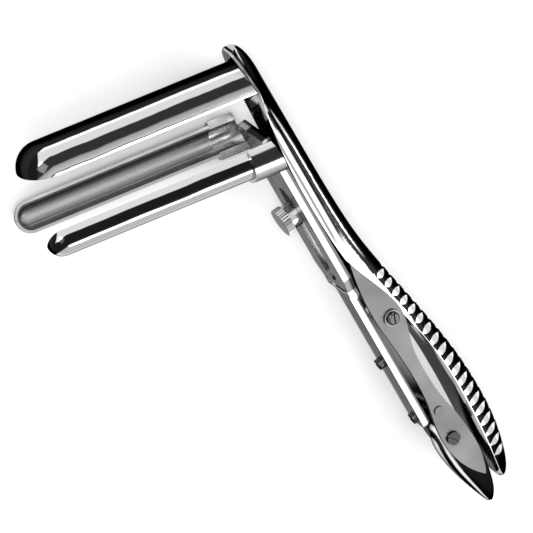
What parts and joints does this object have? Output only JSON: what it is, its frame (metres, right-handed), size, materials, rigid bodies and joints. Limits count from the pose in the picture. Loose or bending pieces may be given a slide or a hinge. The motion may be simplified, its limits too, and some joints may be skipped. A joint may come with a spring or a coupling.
{
  "type": "anal speculum",
  "caption": "Plated steel anal speculum with a fixed upper blade, sliding lower blades, ribbed squeeze handles and a locking thumb screw.",
  "frame": {"origin": "bottom centre of the bounding box with the instrument lying on its side", "axes": "-X from the handles to the blade tips, +Y from the grips to the head, +Z across the instrument"},
  "size_m": [0.1472, 0.1944, 0.0368],
  "materials": {
    "polished_steel": "mirror polished",
    "satin_steel": "satin",
    "screw_steel": "turned and plated"
  },
  "bodies": {
    "root": {"main_handle": "polished_steel", "upper_blade": "polished_steel", "pivot_screw": "screw_steel", "pivot_washer": "satin_steel", "pivot_nut": "screw_steel"},
    "carriage": {"slide_plate": "polished_steel", "near_lower_blade": "polished_steel", "far_lower_blade": "polished_steel", "link_pin": "screw_steel"},
    "link": {"pull_link": "polished_steel", "link_screw": "screw_steel", "link_end_screw": "screw_steel"},
    "lever": {"near_lever_plate": "satin_steel", "far_lever_plate": "satin_steel", "inner_grip": "polished_steel", "grip_screw": "screw_steel", "cross_pin": "screw_steel"},
    "thumb_screw": {"thumb_stud": "screw_steel", "thumb_collar": "screw_steel", "thumb_knob": "screw_steel"}
  },
  "joints": [
    {"name": "lever_release", "type": "hinge", "parent": "root", "child": "lever", "pos_m": [0.04142, -0.01521, 0.0184], "axis": [0, 0, -1], "range_deg": [0, 50]},
    {"name": "blade_slide", "type": "slide", "parent": "root", "child": "carriage", "axis": [-0.28, 0.96, 0], "range_m": [0, 0.0101]},
    {"name": "link_swing", "type": "hinge", "parent": "carriage", "child": "link", "pos_m": [0.02993, -0.00189, 0.0184], "axis": [0, 0, -1], "range_deg": [0, 32.1]},
    {"name": "thumb_screw_turn", "type": "hinge", "parent": "root", "child": "thumb_screw", "pos_m": [0.02207, 0.03185, 0.0184], "axis": [-0.96, -0.28, 0], "range_deg": [-180, 180]}
  ],
  "couplings": [
    {"joint": "blade_slide", "follows": "lever_release", "m_per_rad": 0.01146},
    {"joint": "link_swing", "follows": "lever_release", "ratio": 0.64}
  ]
}
